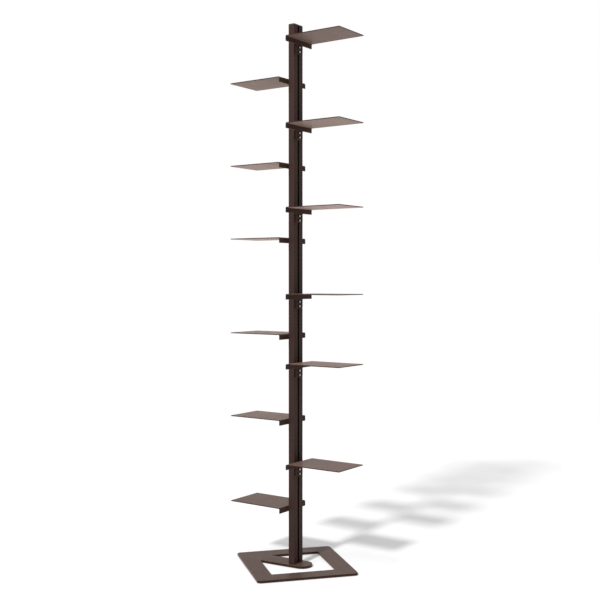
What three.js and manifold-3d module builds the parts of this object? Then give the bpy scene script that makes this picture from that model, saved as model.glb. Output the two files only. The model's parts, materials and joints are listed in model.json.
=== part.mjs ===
// Spine bookshelf: a slotted column on a cut-out plate base, with shelves clamped to both slotted faces.
// Millimetres, Z up. The origin is on the floor, on the column's centre line. The slotted faces of the
// column look along +X and -X, and the right-hand shelves reach towards +X.
import * as THREE from 'three';
import { mergeVertices } from 'three/addons/utils/BufferGeometryUtils.js';
import Module from 'manifold-3d';

// Whole stand
const standHeight = 1950; // floor to the top of the cap

// Fits that more than one piece shares
const fitGap = 0.3; // clearance between pieces that seat, slide or pass through
const cutOverrun = 2; // how far a cutting shape passes the face that it opens
const facetSag = 0.12; // most that a facet of a rounded corner lies inside its arc
const shankFacets = 12;
const portFacets = 16;
const padFacets = 24;
const socketFacets = 6;

// Base plate: a square plate with a square window, and a tongue on the diagonal under the column
const baseSide = 363;
const baseThickness = 8;
const baseCornerRadius = 14;
const bandWidth = 64; // plate left around the window
const windowCornerRadius = 6;
const tongueWidth = 76;
const tongueReach = 64; // column's centre line to the tongue's round end
const tongueRootRadius = 2.5; // in the sharp corners beside the tongue
const baseTurn = THREE.MathUtils.degToRad(5); // the plate's diagonal stands a little off the shelves' line

// Pads under the plate's corners
const padThickness = 1.5;
const padDiameter = 28;
const padInset = 34; // pad's centre to the two nearest sides of the plate

// Column profile: an extrusion with a T slot in each wide face and a screw port in each side chamber
const columnDepth = 25; // between the slotted faces, along X
const columnWidth = 53; // along Y
const columnEdgeRadius = 1;
const slotWidth = 10;
const lipThickness = 2.5; // on both sides of the slot's mouth
const cavityWidth = 25; // inside the slot
const webThickness = 3; // between the two cavities
const chamberWall = 2; // around each side chamber
const portWall = 1.7; // around each screw port
const portRib = 2.5; // web that ties the port to both walls of its chamber

// Bolts from under the tongue into the screw ports
const boltDiameter = 6;
const boltHeadDiameter = 12;
const boltHeadHeight = 3.4;
const boltEngagement = 24; // length inside the port
const boltSocketWidth = 4; // across flats
const boltSocketDepth = 2.2;

// Cap on the column's top end, held by two pegs in the screw ports
const capThickness = 5;
const capEdgeRadius = 0.8; // around the top face
const capPegLength = 14;
const capPegTaper = 0.6; // chamfer on each peg's end

// Shelf: one bent sheet with a plate, a flange on the column and a tab below it for two screws
const shelfLength = 225; // back of the flange to the shelf's outer edge
const shelfWidth = 160;
const sheetThickness = 3;
const bendRadius = 2; // inside the fold
const shelfCornerRadius = 3;
const flangeHeight = 20; // shelf's top face to the flange's lower edge
const flangeCornerRadius = 2;
const tabWidth = 44;
const tabCornerRadius = 7;
const tabRootRadius = 2; // where the tab leaves the flange
const upperScrewDrop = 29; // shelf's top face to the upper screw
const screwSpacing = 16;
const tabEdge = 8; // lower screw to the tab's lower edge

// Shelf screws, button heads with a hexagon socket
const screwDiameter = 6;
const screwHeadDiameter = 10.5;
const screwHeadHeight = 3.3;
const screwRimHeight = 0.9; // straight edge under the dome
const screwCrownShares = [[0.9, 0.6], [0.62, 1]]; // of the head's radius and the dome's height
const screwSocketWidth = 4; // across flats
const screwSocketDepth = 2;
const screwTipGap = 2; // screw's end to the web between the slots

// Slot nut behind each tab
const nutThickness = 5; // of the wings, under the lips
const nutSideGap = 1; // wings to the cavity's sides
const nutNeckSink = 0.6; // neck's face below the column's face
const nutEnd = 8; // screw's centre to the nut's end

// Heights of the shelves' top faces, as shares of the stand's height, from the top shelf down
const rightShelfShares = [0.9727, 0.816, 0.6636, 0.5057, 0.3784, 0.1949];
const leftShelfShares = [0.9005, 0.7458, 0.6089, 0.4319, 0.2748, 0.1131];

// Places that several pieces share
const baseTop = padThickness + baseThickness;
const columnFoot = baseTop + fitGap;
const columnHead = standHeight - capThickness - fitGap;
const columnFace = columnDepth / 2;
const lipInside = columnFace - lipThickness;
const chamberInside = cavityWidth / 2 + chamberWall;
const chamberOutside = columnWidth / 2 - chamberWall;
const portOffset = (chamberInside + chamberOutside) / 2;
const portRadius = boltDiameter / 2 + fitGap;
const tabDrop = upperScrewDrop + screwSpacing + tabEdge;
const screwDrops = [upperScrewDrop, upperScrewDrop + screwSpacing];
const shelfBack = columnFace + fitGap;
const tabFace = shelfBack + sheetThickness;

const wasm = await Module();
wasm.setup();

// Colours and finishes
function paintedSteel() {
  return new THREE.MeshStandardMaterial({ color: 0x4a3c38, roughness: 0.55, metalness: 0.15 });
}

function paintedAluminium() {
  return new THREE.MeshStandardMaterial({ color: 0x483a36, roughness: 0.5, metalness: 0.2 });
}

function zincSteel() {
  return new THREE.MeshStandardMaterial({ color: 0xc4c0ba, roughness: 0.3, metalness: 0.9 });
}

function darkPlastic() {
  return new THREE.MeshStandardMaterial({ color: 0x2c2523, roughness: 0.6, metalness: 0 });
}

function softPad() {
  return new THREE.MeshStandardMaterial({ color: 0x35302d, roughness: 0.95, metalness: 0 });
}

// A corner of an outline, sharp when its radius is zero
function corner(x, y, radius = 0) {
  return { at: new THREE.Vector2(x, y), radius };
}

// Points along the arc that rounds one corner between its two neighbours
function cornerPoints(before, here, after) {
  if (here.radius === 0) return [here.at];
  const towardsBefore = before.at.clone().sub(here.at).normalize();
  const towardsAfter = after.at.clone().sub(here.at).normalize();
  const halfAngle = Math.acos(towardsBefore.dot(towardsAfter)) / 2;
  const middle = towardsBefore.clone().add(towardsAfter).normalize();
  const centre = here.at.clone().addScaledVector(middle, here.radius / Math.sin(halfAngle));
  const tangent = here.radius / Math.tan(halfAngle);
  const start = here.at.clone().addScaledVector(towardsBefore, tangent).sub(centre);
  const side = Math.sign(towardsAfter.cross(towardsBefore));
  const turn = side * (Math.PI - 2 * halfAngle);
  const facetTurn = 2 * Math.acos(1 - Math.min(1, facetSag / here.radius));
  const steps = Math.ceil(Math.abs(turn) / facetTurn);
  const points = [];
  for (let i = 0; i <= steps; i += 1) {
    points.push(start.clone().rotateAround(new THREE.Vector2(), (turn * i) / steps).add(centre));
  }
  return points;
}

// Closed outline through a list of corners
function outline(corners) {
  return corners.flatMap((here, i) => {
    const after = corners[(i + 1) % corners.length];
    return cornerPoints(corners.at(i - 1), here, after);
  });
}

// Rectangle centred on zero, its corners rounded
function rectangle(width, height, radius = 0) {
  const [x, y] = [width / 2, height / 2];
  return outline([
    corner(-x, -y, radius),
    corner(x, -y, radius),
    corner(x, y, radius),
    corner(-x, y, radius),
  ]);
}

// Extrusion of an outline along Z, from zero up
function extrudeUp(points, depth, holes = []) {
  const shape = new THREE.Shape(points);
  shape.holes = holes.map((hole) => new THREE.Path(hole));
  return new THREE.ExtrudeGeometry(shape, { depth, bevelEnabled: false });
}

// Extrusion along Y of an outline drawn in X and Z, centred on Y zero
function extrudeAcross(points, depth) {
  return extrudeUp(points, depth).rotateX(Math.PI / 2).translate(0, depth / 2, 0);
}

// Extrusion along X of an outline drawn in Y and Z
function extrudeAlong(points, start, end) {
  return extrudeUp(points, end - start).rotateX(Math.PI / 2).rotateZ(Math.PI / 2).translate(start, 0, 0);
}

// Revolved profile, given as radius and height, standing on Z
function revolve(profile, facets) {
  const points = profile.map(([radius, height]) => new THREE.Vector2(radius, height));
  return new THREE.LatheGeometry(points, facets).rotateX(Math.PI / 2);
}

// Round rod between two heights, standing on Z
function rod(radius, bottom, top, facets) {
  const height = top - bottom;
  return new THREE.CylinderGeometry(radius, radius, height, facets).rotateX(Math.PI / 2)
    .translate(0, 0, bottom + height / 2);
}

// Closed geometry to a solid that can be joined and cut
function toSolid(geometry) {
  const bare = geometry.clone();
  bare.deleteAttribute('normal');
  bare.deleteAttribute('uv');
  const merged = mergeVertices(bare);
  const index = merged.index.array;
  const triangles = [];
  for (let i = 0; i < index.length; i += 3) {
    const [a, b, c] = index.subarray(i, i + 3);
    if (a !== b && b !== c && c !== a) triangles.push(a, b, c);
  }
  return new wasm.Manifold(new wasm.Mesh({
    numProp: 3,
    vertProperties: merged.attributes.position.array,
    triVerts: Uint32Array.from(triangles),
  }));
}

// Solid back to a geometry, with flat shading normals
function toGeometry(solid) {
  const mesh = solid.getMesh();
  const geometry = new THREE.BufferGeometry();
  geometry.setAttribute('position', new THREE.BufferAttribute(mesh.vertProperties, 3));
  geometry.setIndex(new THREE.BufferAttribute(mesh.triVerts, 1));
  geometry.computeVertexNormals();
  return geometry;
}

function named(name, geometry, material) {
  const mesh = new THREE.Mesh(geometry, material);
  mesh.name = name;
  return mesh;
}

// Window of the base plate, drawn with the tongue's axis on X: the square's corners lie on the axes, and
// the tongue comes in from the corner on the left
function windowOutline() {
  const reach = (baseSide - 2 * bandWidth) / Math.SQRT2;
  const half = tongueWidth / 2;
  return outline([
    corner(half - reach, -half, tongueRootRadius),
    corner(tongueReach, -half, half),
    corner(tongueReach, half, half),
    corner(half - reach, half, tongueRootRadius),
    corner(0, reach, windowCornerRadius),
    corner(reach, 0, windowCornerRadius),
    corner(0, -reach, windowCornerRadius),
  ]);
}

// Countersunk hole for one column bolt, open at the plate's underside
function boltHole() {
  const gap = fitGap * Math.SQRT2;
  const shank = boltDiameter / 2 + fitGap;
  const mouth = boltHeadDiameter / 2 + gap;
  const slope = (boltHeadDiameter - boltDiameter) / 2 / boltHeadHeight;
  const depth = (mouth - shank) / slope;
  return toSolid(revolve([
    [0, -cutOverrun],
    [mouth + slope * cutOverrun, -cutOverrun],
    [shank, depth],
    [shank, baseThickness + cutOverrun],
    [0, baseThickness + cutOverrun],
  ], portFacets));
}

function baseSolid() {
  const side = baseSide / Math.SQRT2;
  const plateOutline = outline([
    corner(-side, 0, baseCornerRadius),
    corner(0, -side, baseCornerRadius),
    corner(side, 0, baseCornerRadius),
    corner(0, side, baseCornerRadius),
  ]);
  const plate = extrudeUp(plateOutline, baseThickness, [windowOutline()]).rotateZ(baseTurn);
  return [-1, 1].reduce(
    (solid, end) => solid.subtract(boltHole().translate([0, end * portOffset, 0])),
    toSolid(plate),
  );
}

function basePlate() {
  const mesh = named('base_plate', toGeometry(baseSolid()), paintedSteel());
  mesh.position.z = padThickness;
  return mesh;
}

// One pad under each corner of the plate
function basePads() {
  const reach = (baseSide - 2 * padInset) / Math.SQRT2;
  return ['right', 'back', 'left', 'front'].map((place, quarter) => {
    const pad = named(`base_pad_${place}`, rod(padDiameter / 2, 0, padThickness, padFacets), softPad());
    const angle = baseTurn + (quarter * Math.PI) / 2;
    pad.position.set(reach * Math.cos(angle), reach * Math.sin(angle), 0);
    return pad;
  });
}

// Space of one T slot, on the +X side of the column
function slotCut(height) {
  const mouth = slotWidth / 2;
  const cavity = cavityWidth / 2;
  return toSolid(extrudeUp([
    new THREE.Vector2(webThickness / 2, -cavity),
    new THREE.Vector2(lipInside, -cavity),
    new THREE.Vector2(lipInside, -mouth),
    new THREE.Vector2(columnFace + cutOverrun, -mouth),
    new THREE.Vector2(columnFace + cutOverrun, mouth),
    new THREE.Vector2(lipInside, mouth),
    new THREE.Vector2(lipInside, cavity),
    new THREE.Vector2(webThickness / 2, cavity),
  ], height));
}

// Space of one side chamber, with its screw port left standing and the port's bore open
function chamberCut(height) {
  const width = chamberOutside - chamberInside;
  const room = extrudeUp(rectangle(columnDepth - 2 * chamberWall, width), height);
  const rib = extrudeUp(rectangle(portRib, width + 2 * cutOverrun), height + 2 * cutOverrun);
  const port = toSolid(rod(portRadius + portWall, -cutOverrun, height + cutOverrun, portFacets))
    .add(toSolid(rib.translate(0, 0, -cutOverrun)));
  const bore = toSolid(rod(portRadius, 0, height, portFacets));
  return toSolid(room).subtract(port).add(bore).translate([0, portOffset, 0]);
}

function columnSolid() {
  const length = columnHead - columnFoot;
  const cutLength = length + 2 * cutOverrun;
  const cuts = slotCut(cutLength).add(chamberCut(cutLength)).translate([0, 0, -cutOverrun]);
  const bar = toSolid(extrudeUp(rectangle(columnDepth, columnWidth, columnEdgeRadius), length));
  return bar.subtract(cuts).subtract(cuts.rotate([0, 0, 180]));
}

function column() {
  const mesh = named('column', toGeometry(columnSolid()), paintedAluminium());
  mesh.position.z = columnFoot;
  return mesh;
}

// Countersunk bolt with its head flush under the plate and its shank in the screw port
function columnBolt(name, end) {
  const shank = boltDiameter / 2;
  const tip = baseThickness + fitGap + boltEngagement;
  const bolt = toSolid(revolve([
    [0, 0],
    [boltHeadDiameter / 2, 0],
    [shank, boltHeadHeight],
    [shank, tip],
    [0, tip],
  ], shankFacets));
  const socketRadius = boltSocketWidth / Math.sqrt(3);
  const socket = toSolid(rod(socketRadius, -cutOverrun, boltSocketDepth, socketFacets));
  const mesh = named(name, toGeometry(bolt.subtract(socket)), zincSteel());
  mesh.position.set(0, end * portOffset, padThickness);
  return mesh;
}

// Cap on the profile's end: a plate with a rounded top edge, and a chamfered peg for each screw port
function columnCap() {
  const shape = new THREE.Shape(rectangle(columnDepth, columnWidth, columnEdgeRadius));
  const rounded = new THREE.ExtrudeGeometry(shape, {
    depth: capThickness,
    bevelThickness: capEdgeRadius,
    bevelSize: capEdgeRadius,
    bevelOffset: -capEdgeRadius,
    bevelSegments: 2,
  }).translate(0, 0, -capEdgeRadius);
  const belowHeight = 2 * capEdgeRadius + cutOverrun;
  const below = extrudeUp(rectangle(columnDepth + cutOverrun, columnWidth + cutOverrun), belowHeight)
    .translate(0, 0, -belowHeight);
  const pegRadius = portRadius - fitGap;
  const peg = toSolid(revolve([
    [0, -capPegLength],
    [pegRadius - capPegTaper, -capPegLength],
    [pegRadius, capPegTaper - capPegLength],
    [pegRadius, capThickness / 2],
    [0, capThickness / 2],
  ], shankFacets));
  const plate = toSolid(rounded).subtract(toSolid(below));
  const solid = [-1, 1].reduce((cap, end) => cap.add(peg.translate([0, end * portOffset, 0])), plate);
  const mesh = named('column_top_cap', toGeometry(solid), darkPlastic());
  mesh.position.z = standHeight - capThickness;
  return mesh;
}

// Bent sheet of one shelf, its top face at Z zero: a side profile with the fold, trimmed to its plan and to
// the front outline of flange and tab, and drilled for the two screws
function shelfSolid() {
  const outer = shelfBack + shelfLength;
  const half = shelfWidth / 2;
  const tabHalf = tabWidth / 2;
  const profile = outline([
    corner(shelfBack, 0, bendRadius + sheetThickness),
    corner(outer, 0),
    corner(outer, -sheetThickness),
    corner(tabFace, -sheetThickness, bendRadius),
    corner(tabFace, -tabDrop),
    corner(shelfBack, -tabDrop),
  ].reverse());
  const plan = outline([
    corner(shelfBack - cutOverrun, -half),
    corner(outer, -half, shelfCornerRadius),
    corner(outer, half, shelfCornerRadius),
    corner(shelfBack - cutOverrun, half),
  ]);
  const front = outline([
    corner(half, cutOverrun),
    corner(-half, cutOverrun),
    corner(-half, -flangeHeight, flangeCornerRadius),
    corner(-tabHalf, -flangeHeight, tabRootRadius),
    corner(-tabHalf, -tabDrop, tabCornerRadius),
    corner(tabHalf, -tabDrop, tabCornerRadius),
    corner(tabHalf, -flangeHeight, tabRootRadius),
    corner(half, -flangeHeight, flangeCornerRadius),
  ]);
  const planHeight = tabDrop + 2 * cutOverrun;
  const sheet = toSolid(extrudeAcross(profile, shelfWidth + 2 * cutOverrun))
    .intersect(toSolid(extrudeUp(plan, planHeight)).translate([0, 0, cutOverrun - planHeight]))
    .intersect(toSolid(extrudeAlong(front, shelfBack - cutOverrun, outer + cutOverrun)));
  return screwDrops.reduce((solid, drop) => solid.subtract(screwHole(shelfBack, tabFace, drop)), sheet);
}

// Clearance hole along X for one screw
function screwHole(start, end, drop) {
  const hole = rod(screwDiameter / 2 + fitGap, start - cutOverrun, end + cutOverrun, shankFacets);
  return toSolid(hole.rotateY(Math.PI / 2)).translate([0, 0, -drop]);
}

// Button-head screw along X: the head on the tab, the shank through the nut
function screwGeometry() {
  const seat = tabFace + fitGap;
  const tip = webThickness / 2 + screwTipGap;
  const shank = screwDiameter / 2;
  const head = screwHeadDiameter / 2;
  const socketRadius = screwSocketWidth / Math.sqrt(3);
  const dome = screwHeadHeight - screwRimHeight;
  const crown = screwCrownShares.map(([out, up]) => [head * out, seat + screwRimHeight + dome * up]);
  const solid = toSolid(revolve([
    [0, tip],
    [shank, tip],
    [shank, seat],
    [head, seat],
    [head, seat + screwRimHeight],
    ...crown,
    [0, seat + screwHeadHeight],
  ], shankFacets));
  const top = seat + screwHeadHeight;
  const recess = toSolid(rod(socketRadius, top - screwSocketDepth, top + cutOverrun, socketFacets));
  return toGeometry(solid.subtract(recess)).rotateY(Math.PI / 2);
}

// Bar in the slot behind the tab: wings under the lips, a neck in the slot's mouth, two screw holes
function nutGeometry() {
  const neck = slotWidth / 2 - fitGap;
  const wing = cavityWidth / 2 - nutSideGap;
  const shoulder = lipInside - fitGap;
  const face = columnFace - nutNeckSink;
  const back = shoulder - nutThickness;
  const length = screwSpacing + 2 * nutEnd;
  const bar = toSolid(extrudeUp([
    new THREE.Vector2(back, -wing),
    new THREE.Vector2(shoulder, -wing),
    new THREE.Vector2(shoulder, -neck),
    new THREE.Vector2(face, -neck),
    new THREE.Vector2(face, neck),
    new THREE.Vector2(shoulder, neck),
    new THREE.Vector2(shoulder, wing),
    new THREE.Vector2(back, wing),
  ], length)).translate([0, 0, nutEnd - upperScrewDrop - length]);
  return toGeometry(screwDrops.reduce((solid, drop) => solid.subtract(screwHole(back, face, drop)), bar));
}

// One shelf with its screws and its nut, at its height on one side of the column
function shelfSet(name, share, turn, shapes) {
  const set = new THREE.Group();
  set.add(named(name, shapes.shelf, paintedSteel()));
  ['upper', 'lower'].forEach((place, i) => {
    const screw = named(`${name}_${place}_screw`, shapes.screw, zincSteel());
    screw.position.z = -screwDrops[i];
    set.add(screw);
  });
  set.add(named(`${name}_slot_nut`, shapes.nut, zincSteel()));
  set.rotation.z = turn;
  set.position.z = share * standHeight;
  return set;
}

const bookshelf = new THREE.Group();
const stand = new THREE.Group();
stand.add(basePlate(), ...basePads(), column(), columnCap());
stand.add(columnBolt('column_bolt_front', -1), columnBolt('column_bolt_back', 1));
bookshelf.add(stand);

const shapes = { shelf: toGeometry(shelfSolid()), screw: screwGeometry(), nut: nutGeometry() };
rightShelfShares.forEach((share, i) => {
  bookshelf.add(shelfSet(`right_shelf_${i + 1}`, share, 0, shapes));
});
leftShelfShares.forEach((share, i) => {
  bookshelf.add(shelfSet(`left_shelf_${i + 1}`, share, Math.PI, shapes));
});

export default bookshelf;
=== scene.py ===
# Spine bookshelf in dark powder coat: a slotted column on a cut-out plate, with bent shelves on both sides.
# Everything is in metres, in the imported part's own frame.
import json
import math
import bmesh
import bpy
import numpy as np
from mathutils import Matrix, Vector, geometry

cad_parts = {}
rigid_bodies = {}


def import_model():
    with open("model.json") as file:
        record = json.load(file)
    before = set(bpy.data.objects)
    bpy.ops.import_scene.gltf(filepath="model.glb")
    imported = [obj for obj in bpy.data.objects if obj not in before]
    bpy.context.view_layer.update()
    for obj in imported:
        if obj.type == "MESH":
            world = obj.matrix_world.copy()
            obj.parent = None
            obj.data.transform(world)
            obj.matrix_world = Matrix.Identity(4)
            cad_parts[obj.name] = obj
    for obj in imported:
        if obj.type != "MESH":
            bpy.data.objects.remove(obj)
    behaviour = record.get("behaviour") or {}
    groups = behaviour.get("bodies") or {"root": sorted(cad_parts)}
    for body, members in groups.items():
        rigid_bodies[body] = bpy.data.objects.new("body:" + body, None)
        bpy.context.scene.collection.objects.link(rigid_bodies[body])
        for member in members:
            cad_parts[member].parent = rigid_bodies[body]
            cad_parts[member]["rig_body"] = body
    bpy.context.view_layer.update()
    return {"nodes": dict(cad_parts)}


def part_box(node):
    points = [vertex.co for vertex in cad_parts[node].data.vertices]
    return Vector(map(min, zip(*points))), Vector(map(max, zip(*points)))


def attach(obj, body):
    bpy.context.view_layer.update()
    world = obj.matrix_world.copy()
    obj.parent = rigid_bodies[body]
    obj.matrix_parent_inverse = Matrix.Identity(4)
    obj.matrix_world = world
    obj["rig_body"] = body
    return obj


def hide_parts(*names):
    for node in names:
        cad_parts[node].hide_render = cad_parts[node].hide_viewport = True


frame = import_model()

print("frame loaded:", len(frame["nodes"]), "solids")

edgeSteps = 3  # steps in the quarter round of an edge
sharpAngle = math.radians(38)  # edges steeper than this stay sharp on screws and bolts
mergeDistance = 1e-7
tiny = 1e-9


# Closed outline through corners (x, y, radius), listed so that the material lies on the left.
# Each corner is an arc: centre + radius * (cos a, sin a), with a swept over the corner's turn.
# Returns the points and, for each, the direction that leaves the material.
def roundedLoop(corners, step):
    places = np.array([c[:2] for c in corners], float)
    points, normals = [], []
    for i, (x, y, radius) in enumerate(corners):
        back = places[i - 1] - places[i]
        ahead = places[(i + 1) % len(corners)] - places[i]
        back, ahead = back / np.linalg.norm(back), ahead / np.linalg.norm(ahead)
        bulge = math.copysign(1, ahead[0] * back[1] - ahead[1] * back[0])
        half = math.acos(np.clip(back @ ahead, -1, 1)) / 2
        middle = (back + ahead) / np.linalg.norm(back + ahead)
        centre = places[i] + middle * radius / math.sin(half)
        start = places[i] + back * radius / math.tan(half) - centre
        turn = math.pi - 2 * half
        count = max(2, math.ceil(turn / step))
        angle = math.atan2(start[1], start[0]) + bulge * turn * np.linspace(0, 1, count + 1)
        ray = np.stack([np.cos(angle), np.sin(angle)], 1)
        points.append(centre + radius * ray)
        normals.append(bulge * ray)
    return np.vstack(points), np.vstack(normals)


# Circle: centre + radius * (cos a, sin a). A hole runs the other way round, with its normals to the centre.
def circleLoop(centre, radius, count, hole=False):
    angle = np.arange(count) * 2 * math.pi / count * (-1 if hole else 1)
    ray = np.stack([np.cos(angle), np.sin(angle)], 1)
    return np.array(centre) + radius * ray, ray * (-1 if hole else 1)


# The same outline run the other way, as a hole: order and normals are both reversed.
def asHole(loop):
    return loop[0][::-1], -loop[1][::-1]


# Extra points where an outline crosses given lines x = cut: each lies on its straight side at the share
# (cut - start) / (end - start), with that side's normal.
def withCuts(loop, cuts):
    points, normals = loop
    nextPoints, nextNormals = np.roll(points, -1, 0), np.roll(normals, -1, 0)
    run = nextPoints[:, 0] - points[:, 0]
    with np.errstate(divide="ignore", invalid="ignore"):
        share = (np.array(cuts)[None, :] - points[:, 0][:, None]) / run[:, None]
    side, cut = np.nonzero((share > tiny) & (share < 1 - tiny))
    t = share[side, cut][:, None]
    order = np.argsort(np.concatenate([np.arange(len(points)), side + t[:, 0]]))
    morePoints = points[side] * (1 - t) + nextPoints[side] * t
    moreNormals = normals[side] * (1 - t) + nextNormals[side] * t
    return np.vstack([points, morePoints])[order], np.vstack([normals, moreNormals])[order]


# Quads between neighbouring rows and columns of a grid whose columns close on themselves.
def ringFaces(rows, columns, start=0):
    index = start + np.arange(rows * columns).reshape(rows, columns)
    index = np.hstack([index, index[:, :1]])
    return np.stack([index[:-1, :-1], index[:-1, 1:], index[1:, 1:], index[1:, :-1]], -1).reshape(-1, 4)


# Triangles that fill the space between nested outlines: a constrained triangulation, of which those stay
# whose middle has an odd number of outline sides to its right.
def fillLoops(loops, lines=()):
    points = np.vstack(loops)
    starts = np.cumsum([0] + [len(loop) for loop in loops])
    orders = [start + np.arange(len(loop)) for start, loop in zip(starts, loops)]
    sides = np.vstack([np.stack([order, np.roll(order, -1)], 1) for order in orders])
    edges = sides.tolist() + [list(line) for line in lines]
    found = geometry.delaunay_2d_cdt([Vector(p) for p in points.tolist()], edges, [], 0, tiny, True)
    origin = np.array([source[0] for source in found[3]])
    triangles = origin[np.array(found[2])]
    middle = points[triangles].mean(1)
    a, b = points[sides[:, 0]], points[sides[:, 1]]
    straddles = (a[None, :, 1] > middle[:, None, 1]) != (b[None, :, 1] > middle[:, None, 1])
    with np.errstate(divide="ignore", invalid="ignore"):
        crossing = a[:, 0] + (middle[:, None, 1] - a[:, 1]) * (b[:, 0] - a[:, 0]) / (b[:, 1] - a[:, 1])
    inside = (straddles & (crossing > middle[:, None, 0])).sum(1) % 2 == 1
    return triangles[inside]


# Section of an edge from below to above, one column a step: inset, height, the level and upward shares of the
# normal, and the share of rounded edge. Both edges are quarter rounds, with inset = r * (1 - cos a) and
# height = r * (1 + sin a) below, thickness - r * (1 - sin a) above.
def edgeSection(thickness, lowerEdge, upperEdge, steps):
    quarter = np.linspace(0, math.pi / 2, steps + 1)
    lower, upper = quarter - math.pi / 2, quarter
    angle = np.concatenate([lower, upper])
    inset = np.repeat([lowerEdge, upperEdge], steps + 1) * (1 - np.cos(angle))
    height = np.concatenate([lowerEdge * (1 + np.sin(lower)), thickness - upperEdge * (1 - np.sin(upper))])
    return np.stack([inset, height, np.cos(angle), np.sin(angle), np.abs(np.sin(2 * angle))])


# Countersink: the lower half of a section becomes a cone, inset = mouth * (1 - t) and height = depth * t,
# with the normal (depth, -mouth) / length. Its first step has the face's normal and its last one the bore's.
def countersunk(section, mouth, depth, blend=0.03):
    steps = section.shape[1] // 2
    t = np.concatenate([[0], np.linspace(blend, 1 - blend, steps - 2), [1]])
    level, up = np.full(steps, depth), np.full(steps, -mouth)
    level[0], up[-1] = 0, 0
    slope = np.hypot(level, up)
    cone = np.stack([mouth * (1 - t), depth * t, level / slope, up / slope, np.zeros(steps)])
    return np.hstack([cone, section[:, steps:]])


# Sheet or bar of a given thickness: each outline is carried up its edge's section, and the two faces are then
# filled. Returns points, faces, the share of rounded edge at each point, and normals. A third item in a loop
# gives it a section of its own.
def sheetSurface(loops, thickness, lowerEdge, upperEdge, lines=(), steps=edgeSteps):
    plain = edgeSection(thickness, lowerEdge, upperEdge, steps)
    points, faces, normals, rims, count = [], [], [], [], 0
    rings = [[], []]
    for place, out, *own in loops:
        inset, height, level, up, rim = own[0] if own else plain
        n = len(place)
        flat = place[None] - inset[:, None, None] * out[None]
        points.append(np.dstack([flat, np.broadcast_to(height[:, None], flat.shape[:2])]).reshape(-1, 3))
        tilt = np.dstack([out[None] * level[:, None, None], np.broadcast_to(up[:, None], flat.shape[:2])])
        normals.append(tilt.reshape(-1, 3))
        rims.append(np.repeat(rim, n))
        faces += ringFaces(len(height), n, count).tolist()
        rings[0].append(count + np.arange(n))
        rings[1].append(count + (len(height) - 1) * n + np.arange(n))
        count += len(height) * n
    points, normals = np.vstack(points), np.vstack(normals)
    for ring, order in zip(rings, ((0, 2, 1), (0, 1, 2))):
        index = np.concatenate(ring)
        fill = fillLoops([points[r][:, :2] for r in ring], lines)
        turned = points[index][fill][:, :, :2]
        one, two = turned[:, 1] - turned[:, 0], turned[:, 2] - turned[:, 0]
        clockwise = one[:, 0] * two[:, 1] - one[:, 1] * two[:, 0] < 0
        fill[clockwise] = fill[clockwise][:, ::-1]
        faces += index[fill][:, list(order)].tolist()
    return points, faces, np.concatenate(rims), normals


# A finished piece: its mesh takes the arrays as they are, and it stands for one solid on that solid's body.
# Without normals of its own, it is merged, turned outwards and left sharp at its steep edges.
def makePiece(node, finish, points, faces, rim, normals=None):
    mesh = bpy.data.meshes.new(node + "_dressed")
    mesh.from_pydata(points.tolist(), [], faces)
    # The rim attribute holds the rounded edge's share for wear, or on screws their painted shade.
    mesh.attributes.new("rim", "FLOAT", "POINT").data.foreach_set("value", rim.astype(np.float32))
    mesh.shade_smooth()
    if normals is not None:
        mesh.normals_split_custom_set_from_vertices(normals.tolist())
    else:
        merged = bmesh.new()
        merged.from_mesh(mesh)
        bmesh.ops.remove_doubles(merged, verts=merged.verts, dist=mergeDistance)
        bmesh.ops.recalc_face_normals(merged, faces=merged.faces)
        merged.to_mesh(mesh)
        merged.free()
        mesh.set_sharp_from_angle(angle=sharpAngle)
    mesh.materials.append(finishes[finish])
    piece = bpy.data.objects.new(node + "_dressed", mesh)
    bpy.context.scene.collection.objects.link(piece)
    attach(piece, frame["nodes"][node]["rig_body"])
    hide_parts(node)


def addNode(tree, kind, values=None, **settings):
    node = tree.nodes.new(kind)
    for key, value in settings.items():
        setattr(node, key, value)
    for key, value in (values or {}).items():
        node.inputs[key].default_value = value
    return node


def newGroup(name, inputs, outputs):
    group = bpy.data.node_groups.new(name, "ShaderNodeTree")
    for label, kind, value in inputs:
        socket = group.interface.new_socket(label, in_out="INPUT", socket_type=kind)
        if value is not None:
            socket.default_value = value
    for label, kind in outputs:
        group.interface.new_socket(label, in_out="OUTPUT", socket_type=kind)
    return group, group.nodes.new("NodeGroupInput"), group.nodes.new("NodeGroupOutput")


# Powder coat: a pebbled height from two sizes of noise, and a soft mottling of light and dark.
def powderGroup():
    group, given, result = newGroup("powderGrain", [
        ("Vector", "NodeSocketVector", None), ("Grain Size", "NodeSocketFloat", 0.0006),
        ("Mottle Size", "NodeSocketFloat", 0.05)],
        [("Height", "NodeSocketFloat"), ("Mottle", "NodeSocketFloat")])
    link = group.links.new
    grainScale = addNode(group, "ShaderNodeMath", {0: 1.0}, operation="DIVIDE")
    mottleScale = addNode(group, "ShaderNodeMath", {0: 1.0}, operation="DIVIDE")
    link(given.outputs["Grain Size"], grainScale.inputs[1])
    link(given.outputs["Mottle Size"], mottleScale.inputs[1])
    pebble = addNode(group, "ShaderNodeTexVoronoi", {"Smoothness": 0.8}, feature="SMOOTH_F1")
    fine = addNode(group, "ShaderNodeTexNoise", {"Detail": 3.0, "Roughness": 0.6})
    cloud = addNode(group, "ShaderNodeTexNoise", {"Detail": 4.0, "Roughness": 0.55})
    height = addNode(group, "ShaderNodeMix", {0: 0.45})  # pebbles first, then this share of fine noise
    for texture, scale in ((pebble, grainScale), (fine, grainScale), (cloud, mottleScale)):
        link(given.outputs["Vector"], texture.inputs["Vector"])
        link(scale.outputs[0], texture.inputs["Scale"])
    link(pebble.outputs["Distance"], height.inputs[2])
    link(fine.outputs["Fac"], height.inputs[3])
    link(height.outputs[0], result.inputs["Height"])
    link(cloud.outputs["Fac"], result.inputs["Mottle"])
    return group


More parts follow.
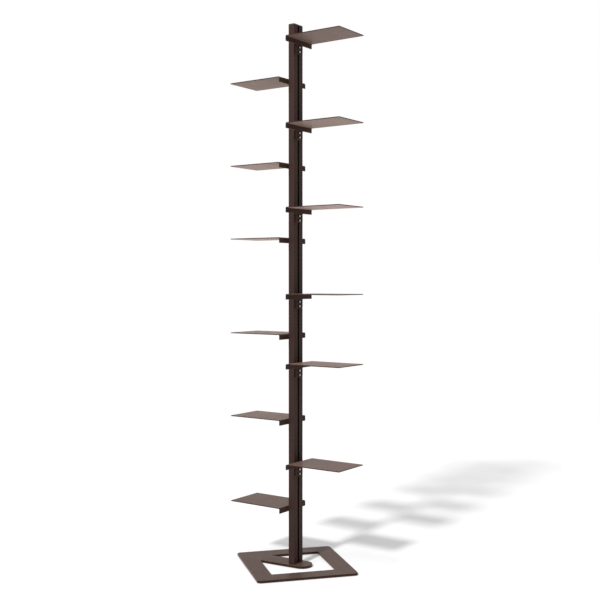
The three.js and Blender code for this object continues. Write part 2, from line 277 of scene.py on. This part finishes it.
# Wear: the rounded edge's share, broken up by noise, so that handled edges shine through in patches.
def wearGroup():
    group, given, result = newGroup("edgeWear", [
        ("Vector", "NodeSocketVector", None), ("Amount", "NodeSocketFloat", 0.5),
        ("Patch Size", "NodeSocketFloat", 0.02)], [("Mask", "NodeSocketFloat")])
    link = group.links.new
    rim = addNode(group, "ShaderNodeAttribute", attribute_name="rim")
    scale = addNode(group, "ShaderNodeMath", {0: 1.0}, operation="DIVIDE")
    patch = addNode(group, "ShaderNodeTexNoise", {"Detail": 5.0, "Roughness": 0.65})
    spread = addNode(group, "ShaderNodeMapRange", {"From Min": 0.38, "From Max": 0.62})
    onRim = addNode(group, "ShaderNodeMath", operation="MULTIPLY")
    amount = addNode(group, "ShaderNodeMath", operation="MULTIPLY", use_clamp=True)
    link(given.outputs["Patch Size"], scale.inputs[1])
    link(given.outputs["Vector"], patch.inputs["Vector"])
    link(scale.outputs[0], patch.inputs["Scale"])
    link(patch.outputs["Fac"], spread.inputs["Value"])
    link(rim.outputs["Fac"], onRim.inputs[0])
    link(spread.outputs["Result"], onRim.inputs[1])
    link(onRim.outputs[0], amount.inputs[0])
    link(given.outputs["Amount"], amount.inputs[1])
    link(amount.outputs[0], result.inputs["Mask"])
    return group


# Handling marks: faint smears drawn out along one direction, which change the gloss more than the colour.
def smearGroup():
    group, given, result = newGroup("handlingSmears", [
        ("Vector", "NodeSocketVector", None), ("Stretch", "NodeSocketVector", (14.0, 14.0, 14.0))],
        [("Mask", "NodeSocketFloat")])
    link = group.links.new
    stretch = addNode(group, "ShaderNodeVectorMath", operation="MULTIPLY")
    smear = addNode(group, "ShaderNodeTexNoise",
                    {"Scale": 1.0, "Detail": 6.0, "Roughness": 0.7, "Distortion": 0.6})
    spread = addNode(group, "ShaderNodeMapRange", {"From Min": 0.42, "From Max": 0.7})
    link(given.outputs["Vector"], stretch.inputs[0])
    link(given.outputs["Stretch"], stretch.inputs[1])
    link(stretch.outputs[0], smear.inputs["Vector"])
    link(smear.outputs["Fac"], spread.inputs["Value"])
    link(spread.outputs["Result"], result.inputs["Mask"])
    return group


effects = {"powder": powderGroup(), "wear": wearGroup(), "smear": smearGroup()}
print("effects built:", ", ".join(effects))


def placeGroup(tree, key, values):
    node = addNode(tree, "ShaderNodeGroup", node_tree=effects[key])
    for label, value in values.items():
        node.inputs[label].default_value = value
    return node


# Mix of two colours or values by a mask, the plain way round: mask 0 gives the first.
def mixed(tree, mask, first, second, kind="RGBA"):
    mix = addNode(tree, "ShaderNodeMix", data_type=kind)
    slots = {"RGBA": (6, 7, 2), "FLOAT": (2, 3, 0)}[kind]  # numbers of the sockets A, B and Result
    for place, value in zip(slots[:2], (first, second)):
        if isinstance(value, bpy.types.NodeSocket):
            tree.links.new(value, mix.inputs[place])
        else:
            mix.inputs[place].default_value = value
    tree.links.new(mask, mix.inputs[0])
    return mix.outputs[slots[2]]


def newMaterial(name):
    material = bpy.data.materials.new(name)
    material.use_nodes = True
    tree = material.node_tree
    place = addNode(tree, "ShaderNodeTexCoord").outputs["Object"]
    return material, tree, tree.nodes["Principled BSDF"], place


# Linear colour of an sRGB triple written 0 to 255.
def paint(red, green, blue):
    share = np.array([red, green, blue]) / 255
    linear = np.where(share <= 0.04045, share / 12.92, ((share + 0.055) / 1.055) ** 2.4)
    return (*linear.tolist(), 1.0)


coatLook = {
    "steel": {"deep": paint(48, 31, 26), "light": paint(56, 38, 32), "worn": paint(72, 52, 45),
              "roughness": (0.33, 0.40), "grain": 0.001, "mottle": 0.06, "bump": 0.0001, "gloss": 0.035,
              "sheen": 0.59, "sheenRoughness": 0.34, "sheenTint": (1.0, 0.7, 0.59, 1.0),
              "wear": 0.15, "smears": (16.0, 16.0, 16.0)},
    "column": {"deep": paint(50, 34, 30), "light": paint(57, 40, 35), "worn": paint(84, 64, 56),
               "roughness": (0.36, 0.46), "grain": 0.0009, "mottle": 0.09, "bump": 0.00008, "gloss": 0.08,
               "sheen": 0.1, "sheenRoughness": 0.3, "sheenTint": (1.0, 0.7, 0.58, 1.0),
               "wear": 0.35, "smears": (30.0, 30.0, 3.0)},
}


# Powder coat: mottled colour, pebbled bump, gloss that changes with smears, a warm sheen at low angles, and
# edges worn lighter.
def coatMaterial(name, look):
    material, tree, shader, place = newMaterial(name)
    shader.inputs["Specular IOR Level"].default_value = look["gloss"]
    shader.inputs["Sheen Weight"].default_value = look["sheen"]
    shader.inputs["Sheen Roughness"].default_value = look["sheenRoughness"]
    shader.inputs["Sheen Tint"].default_value = look["sheenTint"]
    link = tree.links.new
    powder = placeGroup(tree, "powder", {"Grain Size": look["grain"], "Mottle Size": look["mottle"]})
    wear = placeGroup(tree, "wear", {"Amount": look["wear"]})
    smear = placeGroup(tree, "smear", {"Stretch": look["smears"]})
    for node in (powder, wear, smear):
        link(place, node.inputs["Vector"])
    colour = mixed(tree, powder.outputs["Mottle"], look["deep"], look["light"])
    link(mixed(tree, wear.outputs["Mask"], colour, look["worn"]), shader.inputs["Base Color"])
    gloss = mixed(tree, smear.outputs["Mask"], look["roughness"][1], look["roughness"][0], "FLOAT")
    link(gloss, shader.inputs["Roughness"])
    bump = addNode(tree, "ShaderNodeBump", {"Strength": 1.0, "Distance": look["bump"]})
    link(powder.outputs["Height"], bump.inputs["Height"])
    link(bump.outputs["Normal"], shader.inputs["Normal"])
    return material


# The darkest colour is painted shade for the screws: a ring round the foot of each head and a little in its
# socket.
zincLook = {"bright": paint(244, 238, 229), "dull": paint(205, 199, 190), "paintedShade": paint(62, 55, 50),
            "roughness": (0.2, 0.38), "grain": 0.000375, "patch": 0.003, "brush": (300.0, 2400.0, 2400.0),
            "bump": 0.00001}


# Zinc plate: bright metal with duller patches and fine drawn lines. Round the foot of a screw head and in
# its socket the darker colour is painted shade, standing in for shade and dark surroundings mirrored there.
def zincMaterial(name, look):
    material, tree, shader, place = newMaterial(name)
    link = tree.links.new
    shader.inputs["Metallic"].default_value = 1.0
    powder = placeGroup(tree, "powder", {"Grain Size": look["grain"], "Mottle Size": look["patch"]})
    lines = placeGroup(tree, "smear", {"Stretch": look["brush"]})
    for node in (powder, lines):
        link(place, node.inputs["Vector"])
    plate = mixed(tree, powder.outputs["Mottle"], look["bright"], look["dull"])
    # This attribute carries the screws' painted shade, which darkens the plate towards the foot of the head.
    paintedShade = addNode(tree, "ShaderNodeAttribute", attribute_name="rim")
    link(mixed(tree, paintedShade.outputs["Fac"], plate, look["paintedShade"]), shader.inputs["Base Color"])
    gloss = mixed(tree, powder.outputs["Mottle"], *look["roughness"], "FLOAT")
    link(gloss, shader.inputs["Roughness"])
    bump = addNode(tree, "ShaderNodeBump", {"Strength": 1.0, "Distance": look["bump"]})
    link(lines.outputs["Mask"], bump.inputs["Height"])
    link(bump.outputs["Normal"], shader.inputs["Normal"])
    return material


mouldedLook = {
    "cap": {"deep": paint(38, 32, 30), "light": paint(52, 45, 42), "worn": paint(84, 76, 72),
            "roughness": (0.45, 0.62), "grain": 0.0004, "mottle": 0.02, "bump": 0.00004, "gloss": 0.3,
            "sheen": 0.02, "sheenRoughness": 0.4, "sheenTint": (1.0, 0.94, 0.9, 1.0),
            "wear": 0.5, "smears": (60.0, 60.0, 60.0)},
    "pad": {"deep": paint(44, 40, 38), "light": paint(60, 55, 52), "worn": paint(80, 74, 70),
            "roughness": (0.8, 0.95), "grain": 0.0009, "mottle": 0.01, "bump": 0.0001, "gloss": 0.2,
            "sheen": 0.05, "sheenRoughness": 0.5, "sheenTint": (1.0, 0.96, 0.93, 1.0),
            "wear": 0.3, "smears": (80.0, 80.0, 80.0)},
}

finishes = {
    "painted_steel": coatMaterial("coatedSteel", coatLook["steel"]),
    "painted_column": coatMaterial("coatedColumn", coatLook["column"]),
    "zinc_steel": zincMaterial("zincPlate", zincLook),
    "cap_plastic": coatMaterial("mouldedCap", mouldedLook["cap"]),
    "pad_rubber": coatMaterial("floorPad", mouldedLook["pad"]),
}
print("finishes built:", ", ".join(finishes))


baseSize = {"side": 0.363, "thickness": 0.008, "bottom": 0.0015, "corner": 0.014, "band": 0.064,
            "windowCorner": 0.006, "tongueWidth": 0.076, "tongueReach": 0.064, "tongueRoot": 0.0025,
            "tongueEnd": 0.999, "turn": math.radians(5), "edge": 0.0007, "boltOffset": 0.0195,
            "boltHole": 0.0033, "boltMouth": 0.0064, "boltSink": 0.00354, "boltFacets": 32,
            "arcStep": math.radians(6)}


# Base: the plate's square and its window are outlines in plan, drawn with the tongue's axis on X and then
# turned. The tongue ends in two quarter rounds of nearly half its width, and its bolt holes are countersunk.
def buildBase(size):
    side = size["side"] / math.sqrt(2)
    reach = (size["side"] - 2 * size["band"]) / math.sqrt(2)
    half = size["tongueWidth"] / 2
    end = half * size["tongueEnd"]
    rim = roundedLoop([(side, 0, size["corner"]), (0, side, size["corner"]),
                       (-side, 0, size["corner"]), (0, -side, size["corner"])], size["arcStep"])
    window = asHole(roundedLoop([
        (half - reach, -half, size["tongueRoot"]), (0, -reach, size["windowCorner"]),
        (reach, 0, size["windowCorner"]), (0, reach, size["windowCorner"]),
        (half - reach, half, size["tongueRoot"]), (size["tongueReach"], half, end),
        (size["tongueReach"], -half, end)], size["arcStep"]))
    turn = np.array([[math.cos(size["turn"]), math.sin(size["turn"])],
                     [-math.sin(size["turn"]), math.cos(size["turn"])]])
    loops = [(place @ turn, out @ turn) for place, out in (rim, window)]
    section = countersunk(edgeSection(size["thickness"], size["edge"], size["edge"], edgeSteps),
                          size["boltMouth"] - size["boltHole"], size["boltSink"])
    for offset in (-size["boltOffset"], size["boltOffset"]):
        loops.append((*circleLoop((0, offset), size["boltHole"], size["boltFacets"], True), section))
    surface = sheetSurface(loops, size["thickness"], size["edge"], size["edge"])
    surface[0][:, 2] += size["bottom"]
    makePiece("base_plate", "painted_steel", *surface)


buildBase(baseSize)
padSize = {"radius": 0.014, "thickness": 0.0015, "edge": 0.0004, "facets": 48}


# Pad: a round sheet at the middle of each pad's solid.
def buildPad(node, size):
    low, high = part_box(node)
    middle = ((low.x + high.x) / 2, (low.y + high.y) / 2)
    loop = circleLoop(middle, size["radius"], size["facets"])
    surface = sheetSurface([loop], size["thickness"], size["edge"], size["edge"])
    surface[0][:, 2] += low.z
    makePiece(node, "pad_rubber", *surface)


for place in ("right", "back", "left", "front"):
    buildPad("base_pad_" + place, padSize)
print("base built")


columnSize = {"depth": 0.025, "width": 0.053, "edge": 0.001, "slot": 0.010, "lip": 0.0025, "cavity": 0.025,
              "web": 0.003, "wall": 0.002, "port": 0.005, "rib": 0.0025, "bore": 0.0033, "portOffset": 0.0195,
              "portSteps": 13, "boreFacets": 24, "fillet": 0.0004, "endEdge": 0.0002, "endSteps": 1,
              "arcStep": math.radians(15)}


# Each row of an array divided by its length.
def unitRows(rows):
    return rows / np.linalg.norm(rows, axis=1)[:, None]


# Column: the profile's outline with both slots is carried straight up. Its bores and side chambers are holes,
# and each chamber is a rectangle with the port's arc as its inner side.
def buildColumn(size):
    low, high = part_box("column")
    x, y, f = size["depth"] / 2, size["width"] / 2, size["fillet"]
    mouth, cavity, lip, web = size["slot"] / 2, size["cavity"] / 2, x - size["lip"], size["web"] / 2
    face = [(x, -y, size["edge"]), (x, -mouth, f), (lip, -mouth, f), (lip, -cavity, f), (web, -cavity, f),
            (web, cavity, f), (lip, cavity, f), (lip, mouth, f), (x, mouth, f), (x, y, size["edge"])]
    loops = [roundedLoop(face + [(-a, -b, r) for a, b, r in face], size["arcStep"])]
    inner, outer = cavity + size["wall"], y - size["wall"]
    room, rib = x - size["wall"], size["rib"] / 2
    swing = math.acos(rib / size["port"])
    arc = np.linspace(swing, -swing, size["portSteps"])
    tall = (outer - inner) / 2
    chamber = np.vstack([[(rib, -tall), (room, -tall), (room, tall), (rib, tall)],
                         np.stack([np.cos(arc), np.sin(arc)], 1) * size["port"]])
    for offset in (-size["portOffset"], size["portOffset"]):
        loops.append(circleLoop((0, offset), size["bore"], size["boreFacets"], True))
        for side in (-1, 1):
            shape = chamber * side + [0, offset]
            before, after = shape - np.roll(shape, 1, 0), np.roll(shape, -1, 0) - shape
            tangent = unitRows(unitRows(before) + unitRows(after))
            loops.append(asHole((shape, np.stack([tangent[:, 1], -tangent[:, 0]], 1))))
    surface = sheetSurface(loops, high.z - low.z, size["endEdge"], size["endEdge"], steps=size["endSteps"])
    surface[0][:, 2] += low.z
    makePiece("column", "painted_column", *surface)


buildColumn(columnSize)
capSize = {"depth": 0.025, "width": 0.053, "corner": 0.001, "thickness": 0.005, "upperEdge": 0.0008,
           "lowerEdge": 0.0002, "edgeSteps": 5, "arcStep": math.radians(15), "pegOffset": 0.0195,
           "pegRadius": 0.003, "pegLength": 0.014, "pegEdge": 0.0006, "pegFacets": 24, "sink": 0.002}


# Cap: a small plate with a rounded top edge, and two round pegs that go down into the profile's ports.
def buildCap(size):
    low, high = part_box("column_top_cap")
    x, y, r = size["depth"] / 2, size["width"] / 2, size["corner"]
    plate = roundedLoop([(x, -y, r), (x, y, r), (-x, y, r), (-x, -y, r)], size["arcStep"])
    shells = [sheetSurface([plate], size["thickness"], size["lowerEdge"], size["upperEdge"],
                           steps=size["edgeSteps"])]
    shells[0][0][:, 2] += high.z - size["thickness"]
    for offset in (-size["pegOffset"], size["pegOffset"]):
        peg = circleLoop((0, offset), size["pegRadius"], size["pegFacets"])
        shell = sheetSurface([peg], size["pegLength"] + size["sink"], size["pegEdge"], size["pegEdge"])
        shell[0][:, 2] += low.z
        shells.append(shell)
    starts = np.cumsum([0] + [len(shell[0]) for shell in shells])
    faces = [[i + start for i in face] for shell, start in zip(shells, starts) for face in shell[1]]
    points, rim, normals = [np.concatenate([shell[part] for shell in shells]) for part in (0, 2, 3)]
    makePiece("column_top_cap", "cap_plastic", points, faces, rim, normals)


buildCap(capSize)
print("column built")


shelfSize = {"back": 0.0128, "length": 0.225, "width": 0.160, "sheet": 0.003, "outerBend": 0.005,
             "corner": 0.003, "flange": 0.020, "flangeCorner": 0.002, "tab": 0.044, "tabCorner": 0.007,
             "tabRoot": 0.002, "drop": 0.053, "screwDrops": (0.029, 0.045), "hole": 0.0033,
             "holeFacets": 24, "edge": 0.0005, "foldSteps": 10, "arcStep": math.radians(9), "perSide": 6}


# Flat pattern of a shelf: x runs along the sheet from the outer edge through the fold to the tab, and y
# across it. Its faces are split along lines across the fold, so that the sheet can bend there.
def flatShelf(size):
    plate = size["length"] - size["outerBend"]
    arc = size["outerBend"] * math.pi / 2
    down = lambda drop: plate + arc + drop - size["outerBend"]
    half, tab = size["width"] / 2, size["tab"] / 2
    flange, end = down(size["flange"]), down(size["drop"])
    rim = roundedLoop([
        (0, -half, size["corner"]), (flange, -half, size["flangeCorner"]), (flange, -tab, size["tabRoot"]),
        (end, -tab, size["tabCorner"]), (end, tab, size["tabCorner"]), (flange, tab, size["tabRoot"]),
        (flange, half, size["flangeCorner"]), (0, half, size["corner"])], size["arcStep"])
    cuts = plate + arc * np.arange(size["foldSteps"] + 1) / size["foldSteps"]
    rim = withCuts(rim, cuts)
    creases = [np.nonzero(np.abs(rim[0][:, 0] - cut) < tiny)[0][:2] for cut in cuts]
    holes = [circleLoop((down(drop), 0), size["hole"], size["holeFacets"], True)
             for drop in size["screwDrops"]]
    return sheetSurface([rim] + holes, size["sheet"], size["edge"], size["edge"], creases), plate


# Folding: up to the fold the sheet lies level; in the fold a point at arc length s turns by s / radius about
# the fold's axis, its distance from the axis being the radius less its depth; past it, the sheet hangs down.
def foldShelf(points, normals, plate, size):
    along, across, depth = points[:, 0], points[:, 1], size["sheet"] - points[:, 2]
    radius, axis = size["outerBend"], np.array([size["back"] + size["outerBend"], -size["outerBend"]])
    arc = radius * math.pi / 2
    turn = np.clip((along - plate) / radius, 0, math.pi / 2)
    straight = np.where(along < plate, along - plate, np.maximum(along - plate - arc, 0))
    radial = np.stack([-np.sin(turn), np.cos(turn)], 1)
    tangent = np.stack([-np.cos(turn), -np.sin(turn)], 1)
    flat = axis + (radius - depth)[:, None] * radial + straight[:, None] * tangent
    lean = normals[:, :1] * tangent + normals[:, 2:] * radial
    return (np.stack([flat[:, 0], -across, flat[:, 1]], 1),
            np.stack([lean[:, 0], -normals[:, 1], lean[:, 1]], 1))


(flatPoints, shelfFaces, shelfRim, flatNormals), plateRun = flatShelf(shelfSize)
shelfPoints, shelfNormals = foldShelf(flatPoints, flatNormals, plateRun, shelfSize)


# A right-hand shape moved up to its shelf, or the same shape turned half round for the left.
def placed(points, side, height):
    return points * [side, side, 1] + [0, 0, height]


screwSize = {"radius": 0.003, "tipEdge": 0.0006, "neck": 0.0003, "headRadius": 0.00525, "headHeight": 0.0033,
             "rimHeight": 0.0009, "rimEdge": 0.0001, "domeStart": 0.15, "domeSteps": 6, "crownShare": 0.62,
             "socket": 0.004, "socketMouth": 1.06, "socketEdge": 0.00015, "socketDepth": 0.002,
             "drillPoint": 0.0004, "unshadedShare": 0.55, "shadeShare": 0.15, "socketShade": 0.1, "facets": 36}


# Ring radius at each angle: a circle, or a hexagon across flats w where the radius is w / 2 / cos(a).
def ringRadius(angle, radius, hexagon):
    bent = np.mod(angle, math.pi / 3) - math.pi / 6
    return radius if not hexagon else radius / np.cos(bent)


# Turned piece: one ring for each row (radius, distance along the axis, hexagon or not). Returns the distances
# along the axis, the two across it, and the faces.
def turnedRings(rows, facets):
    angle = np.arange(facets) * 2 * math.pi / facets
    radius = np.stack([ringRadius(angle, a, hexagon) * np.ones_like(angle) for a, b, hexagon in rows])
    along = np.repeat([b for a, b, hexagon in rows], facets)
    return (along, (radius * np.cos(angle)).ravel(), (radius * np.sin(angle)).ravel(),
            ringFaces(len(rows), facets).tolist())


# Button-head screw along X: from the tip up the shank, over the head's dome, and down into a socket whose
# rings are hexagons. On the dome, height = rim + (head - rim) * sin a and
# radius = head * (crown + (1 - crown) * cos a). Painted shade grows outwards from the unshaded share of the
# head's radius, and there is a little in the socket; it stands in for shade and dark surroundings mirrored
# at the foot of the dome.
def screwSurface(size, seat, tip):
    r, head, top = size["radius"], size["headRadius"], seat + size["headHeight"]
    turn = np.linspace(size["domeStart"], 1, size["domeSteps"]) * math.pi / 2
    domeHeight = size["rimHeight"] + (size["headHeight"] - size["rimHeight"]) * np.sin(turn)
    domeRadius = head * (size["crownShare"] + (1 - size["crownShare"]) * np.cos(turn))
    half, floor = size["socket"] / 2, top - size["socketDepth"]
    edge, drill = size["rimEdge"], size["drillPoint"]
    rows = [(0, tip, 0), (r - size["tipEdge"], tip, 0), (r, tip + size["tipEdge"], 0),
            (r, seat - size["neck"], 0), (r, seat, 0), (head - edge, seat, 0), (head, seat + edge, 0),
            (head, seat + size["rimHeight"], 0)]
    rows += [(a, seat + b, 0) for a, b in zip(domeRadius, domeHeight)]
    rows += [(half * size["socketMouth"], top, 1), (half, top - size["socketEdge"], 1), (half, floor, 1),
             (half / 2, floor - drill / 2, 1), (0, floor - drill, 1)]
    outward = np.array([a / head for a, b, hexagon in rows])
    inSocket = np.array([bool(hexagon) and b < top for a, b, hexagon in rows])
    paintedShade = np.maximum(np.clip((outward - size["unshadedShare"]) / size["shadeShare"], 0, 1),
                       size["socketShade"] * inSocket)
    along, level, up, faces = turnedRings(rows, size["facets"])
    return np.stack([along, level, up], 1), faces, np.repeat(paintedShade, size["facets"])


for side, label in ((1, "right"), (-1, "left")):
    for number in range(1, shelfSize["perSide"] + 1):
        node = f"{label}_shelf_{number}"
        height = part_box(node)[1].z
        makePiece(node, "painted_steel", placed(shelfPoints, side, height), shelfFaces, shelfRim,
                  shelfNormals * [side, side, 1])
        for which in ("upper", "lower"):
            screw = f"{node}_{which}_screw"
            low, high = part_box(screw)
            reach = sorted((abs(low.x), abs(high.x)))
            # Each screw's painted shade goes into its rim attribute.
            points, faces, paintedShade = screwSurface(screwSize, reach[1] - screwSize["headHeight"], reach[0])
            makePiece(screw, "zinc_steel", placed(points, side, (low.z + high.z) / 2), faces, paintedShade)
print("shelves built")

boltSize = {"radius": 0.003, "headRadius": 0.006, "headHeight": 0.0034, "socket": 0.004,
            "socketDepth": 0.0022, "edge": 0.0002, "tipEdge": 0.0006, "facets": 36}


# Countersunk bolt along Z, head down: from the tip down the shank, over the cone, and up into its socket.
def buildBolt(node, size):
    low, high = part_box(node)
    r, head, edge, half = size["radius"], size["headRadius"], size["edge"], size["socket"] / 2
    rows = [(0, high.z, 0), (r - size["tipEdge"], high.z, 0), (r, high.z - size["tipEdge"], 0),
            (r, low.z + size["headHeight"], 0), (head, low.z + edge, 0), (head - edge, low.z, 0),
            (half + edge, low.z, 1), (half, low.z + edge, 1), (half, low.z + size["socketDepth"], 1),
            (0, low.z + size["socketDepth"], 1)]
    up, level, across, faces = turnedRings(rows, size["facets"])
    points = np.stack([level, across, up], 1) + [(low.x + high.x) / 2, (low.y + high.y) / 2, 0]
    makePiece(node, "zinc_steel", points, faces, np.zeros(len(points)))


for end in ("front", "back"):
    buildBolt("column_bolt_" + end, boltSize)
print("bolts built")

# The slot nuts are right as they are, and take the zinc finish.
for node, solid in frame["nodes"].items():
    if node.endswith("slot_nut"):
        solid.data.materials.clear()
        solid.data.materials.append(finishes["zinc_steel"])


studio = {
    "cameraPlace": (2.046, -2.885, 1.0393), "yaw": -35.089, "pitch": -1.234, "focal": 979.6, "frame": 600,
    "sensor": 36.0, "clip": (0.05, 200.0), "target": (0, 0, 1),
    "sunTowards": (-0.07, 1.0), "sunHeight": 40.0, "sunDistance": 5.0, "sunStrength": 2.35, "sunAngle": 6.0,
    "skyStrength": 0.45, "backdrop": 1.0, "fillPlace": (4.5, -1.2, 1.6), "fillSize": 3.0, "fillPower": 4.0,
    "upperPlace": (-0.3, -1.3, 2.4), "upperTarget": (0, 0, 1.8), "upperSize": 0.8, "upperPower": 14.0,
    "floorColour": (0.9, 0.9, 0.9, 1.0), "floorLift": 0.17, "floorSize": 60.0, "floorTop": -0.0001,
}


# Camera at the photograph's angle: forward = (sin yaw cos pitch, cos yaw cos pitch, sin pitch). The focal
# length is in pixels of the frame.
def buildCamera(values):
    yaw, pitch = math.radians(values["yaw"]), math.radians(values["pitch"])
    forward = Vector((math.sin(yaw) * math.cos(pitch), math.cos(yaw) * math.cos(pitch), math.sin(pitch)))
    data = bpy.data.cameras.new("studioCamera")
    data.sensor_width = values["sensor"]
    data.lens = values["focal"] / values["frame"] * data.sensor_width
    data.clip_start, data.clip_end = values["clip"]
    camera = bpy.data.objects.new("studioCamera", data)
    camera.location = values["cameraPlace"]
    camera.rotation_mode = "QUATERNION"
    camera.rotation_quaternion = forward.to_track_quat("-Z", "Y")
    bpy.context.scene.collection.objects.link(camera)
    bpy.context.scene.camera = camera


def addLamp(name, kind, place, target, inReflections=True, **settings):
    data = bpy.data.lights.new(name, kind)
    for key, value in settings.items():
        setattr(data, key, value)
    lamp = bpy.data.objects.new(name, data)
    lamp.location = place
    lamp.rotation_euler = (Vector(target) - Vector(place)).to_track_quat("-Z", "Y").to_euler()
    lamp.visible_glossy = inReflections
    bpy.context.scene.collection.objects.link(lamp)


# A share that is one for rays from the camera and for reflections and clear glass, and zero for others.
def seenDirectly(tree):
    rays = addNode(tree, "ShaderNodeLightPath")
    first = addNode(tree, "ShaderNodeMath", operation="MAXIMUM")
    second = addNode(tree, "ShaderNodeMath", operation="MAXIMUM")
    tree.links.new(rays.outputs["Is Camera Ray"], first.inputs[0])
    tree.links.new(rays.outputs["Is Glossy Ray"], first.inputs[1])
    tree.links.new(first.outputs[0], second.inputs[0])
    tree.links.new(rays.outputs["Is Transmission Ray"], second.inputs[1])
    return second.outputs[0]


# Sky: an even light of its own strength on the object, shown and mirrored as the white backdrop.
def buildSky(values):
    world = bpy.data.worlds.new("studioSky")
    bpy.context.scene.world = world
    world.use_nodes = True
    tree = world.node_tree
    background = tree.nodes["Background"]
    background.inputs["Color"].default_value = (1, 1, 1, 1)
    strength = mixed(tree, seenDirectly(tree), values["skyStrength"], values["backdrop"], "FLOAT")
    tree.links.new(strength, background.inputs["Strength"])


# Floor: a pale matt sheet just under the pads, which keeps the shadow and is lifted to white by a faint glow.
def buildFloor(values):
    half = values["floorSize"] / 2
    mesh = bpy.data.meshes.new("studioFloor")
    corners = np.array([[-1, -1, 0], [1, -1, 0], [1, 1, 0], [-1, 1, 0]]) * half + [0, 0, values["floorTop"]]
    mesh.from_pydata(corners.tolist(), [], [[0, 1, 2, 3]])
    floor = bpy.data.objects.new("studioFloor", mesh)
    bpy.context.scene.collection.objects.link(floor)
    material, tree, shader, place = newMaterial("paleFloor")
    shader.inputs["Base Color"].default_value = values["floorColour"]
    shader.inputs["Roughness"].default_value = 1.0
    shader.inputs["Specular IOR Level"].default_value = 0.0
    shader.inputs["Emission Color"].default_value = (1, 1, 1, 1)
    shader.inputs["Emission Strength"].default_value = values["floorLift"]
    mesh.materials.append(material)


buildCamera(studio)
buildSky(studio)
buildFloor(studio)
rise = math.tan(math.radians(studio["sunHeight"]))
towards = Vector((*studio["sunTowards"], 0)).normalized() - Vector((0, 0, rise))
sunPlace = Vector(studio["target"]) - towards * studio["sunDistance"]
addLamp("keySun", "SUN", sunPlace, studio["target"], energy=studio["sunStrength"],
        angle=math.radians(studio["sunAngle"]))
addLamp("sideFill", "AREA", studio["fillPlace"], studio["target"], inReflections=False,
        energy=studio["fillPower"], size=studio["fillSize"])
addLamp("upperFill", "AREA", studio["upperPlace"], studio["upperTarget"], inReflections=False,
        energy=studio["upperPower"], size=studio["upperSize"])
bpy.context.scene.view_settings.view_transform = "Standard"
print("studio built")
